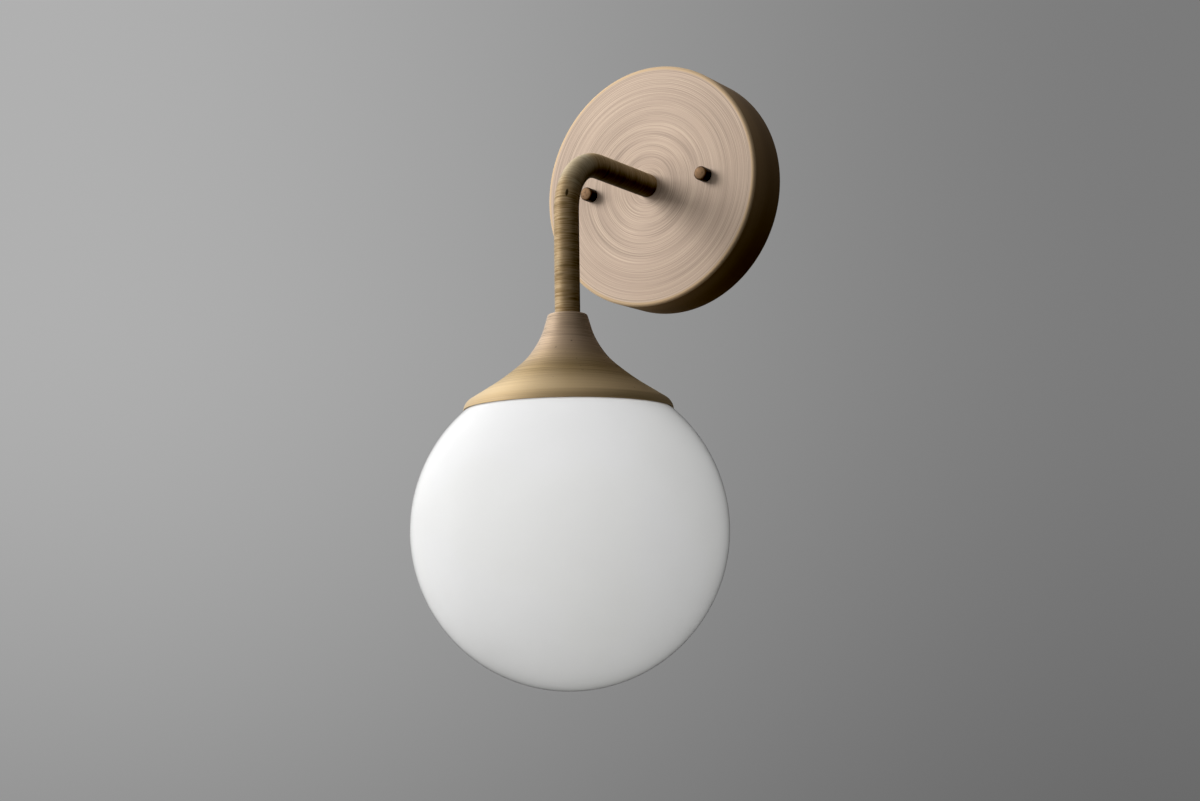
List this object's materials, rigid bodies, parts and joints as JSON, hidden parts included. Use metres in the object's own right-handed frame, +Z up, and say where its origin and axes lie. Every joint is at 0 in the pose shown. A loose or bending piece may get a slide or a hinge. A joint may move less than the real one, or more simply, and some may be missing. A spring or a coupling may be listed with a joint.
{
  "type": "globe wall sconce",
  "caption": "Wall sconce with a round brass wall plate, a bent brass arm, a flared holder and an opal glass globe carried by sprung clip arms.",
  "frame": {"origin": "centre of the wall plate's back, on the wall, midway between the box screws", "axes": "+Z up, +X to the right seen from the room, +Y into the wall, so the arm leaves the wall along -Y"},
  "size_m": [0.15, 0.176, 0.32],
  "materials": {
    "antique_brass": "brushed and darkened",
    "opal_glass": "gloss opal",
    "zinc_steel": "zinc plated",
    "spring_steel": "bright drawn wire",
    "raw_brass": "unlacquered",
    "copper": "bare wire",
    "soft_sleeve": "clear soft vinyl",
    "black_plastic": "moulded",
    "fibre_liner": "fibre paper",
    "lamp_cap": "pressed",
    "lamp_black": "glassy insulator",
    "lamp_white": "moulded",
    "black_wire": "extruded insulation",
    "white_wire": "extruded insulation",
    "orange_plastic": "moulded",
    "green_plastic": "moulded"
  },
  "bodies": {
    "fixture": {"canopy": "antique_brass", "arm_tube": "antique_brass", "holder": "antique_brass", "mounting_strap": "zinc_steel", "mounting_stud_left": "zinc_steel", "mounting_stud_right": "zinc_steel", "stud_nut_left": "zinc_steel", "stud_nut_right": "zinc_steel", "ground_screw": "green_plastic", "canopy_nipple": "zinc_steel", "canopy_lock_washer": "zinc_steel", "canopy_nut": "zinc_steel", "wire_bushing": "black_plastic", "holder_nipple": "zinc_steel", "holder_nut": "zinc_steel", "hub_nut": "zinc_steel", "clip_hub": "zinc_steel", "clip_pin_1": "zinc_steel", "clip_pin_2": "zinc_steel", "clip_pin_3": "zinc_steel", "socket_cap": "raw_brass", "socket_shell": "raw_brass", "socket_liner": "fibre_liner", "socket_block": "black_plastic", "socket_screw_shell": "raw_brass", "socket_contact": "raw_brass", "terminal_screw_live": "raw_brass", "terminal_screw_neutral": "zinc_steel", "live_lead": "black_wire", "neutral_lead": "white_wire", "ground_lead": "copper", "wire_connector_live": "orange_plastic", "wire_connector_neutral": "orange_plastic", "wire_connector_ground": "green_plastic"},
    "globe": {"glass_globe": "opal_glass"},
    "clip_1": {"clip_arm_1": "zinc_steel", "tip_sleeve_1": "soft_sleeve", "clip_spring_1": "spring_steel"},
    "clip_2": {"clip_arm_2": "zinc_steel", "tip_sleeve_2": "soft_sleeve", "clip_spring_2": "spring_steel"},
    "clip_3": {"clip_arm_3": "zinc_steel", "tip_sleeve_3": "soft_sleeve", "clip_spring_3": "spring_steel"},
    "lamp": {"lamp_screw_cap": "lamp_cap", "lamp_insulator": "lamp_black", "lamp_contact": "lamp_cap", "lamp_housing": "lamp_white", "lamp_bulb": "lamp_white"},
    "nut_left": {"cap_nut_left": "antique_brass"},
    "nut_right": {"cap_nut_right": "antique_brass"}
  },
  "joints": [
    {"name": "globe_drop", "type": "slide", "parent": "fixture", "child": "globe", "axis": [0, 0, -1], "range_m": [0, 0.0237], "stiffness_N_per_m": 400, "springref_m": -0.03},
    {"name": "clip_1_fold", "type": "hinge", "parent": "fixture", "child": "clip_1", "pos_m": [0, -0.1255, -0.1135], "axis": [1, 0, 0], "range_deg": [0, 54.6], "deforming": ["clip_spring_1"]},
    {"name": "clip_2_fold", "type": "hinge", "parent": "fixture", "child": "clip_2", "pos_m": [0.02122, -0.08875, -0.1135], "axis": [-0.5, 0.866, 0], "range_deg": [0, 54.6], "deforming": ["clip_spring_2"]},
    {"name": "clip_3_fold", "type": "hinge", "parent": "fixture", "child": "clip_3", "pos_m": [-0.02122, -0.08875, -0.1135], "axis": [-0.5, -0.866, 0], "range_deg": [0, 54.6], "deforming": ["clip_spring_3"]},
    {"name": "lamp_turn", "type": "hinge", "parent": "fixture", "child": "lamp", "pos_m": [0, -0.101, -0.15], "axis": [0, 0, 1], "continuous": true},
    {"name": "cap_nut_left_turn", "type": "hinge", "parent": "fixture", "child": "nut_left", "pos_m": [-0.035, -0.03, 0], "axis": [0, -1, 0], "continuous": true},
    {"name": "cap_nut_right_turn", "type": "hinge", "parent": "fixture", "child": "nut_right", "pos_m": [0.035, -0.03, 0], "axis": [0, -1, 0], "continuous": true}
  ],
  "couplings": [
    {"joint": "clip_1_fold", "follows": "globe_drop", "rad_per_m": 40.2},
    {"joint": "clip_2_fold", "follows": "globe_drop", "rad_per_m": 40.2},
    {"joint": "clip_3_fold", "follows": "globe_drop", "rad_per_m": 40.2}
  ]
}
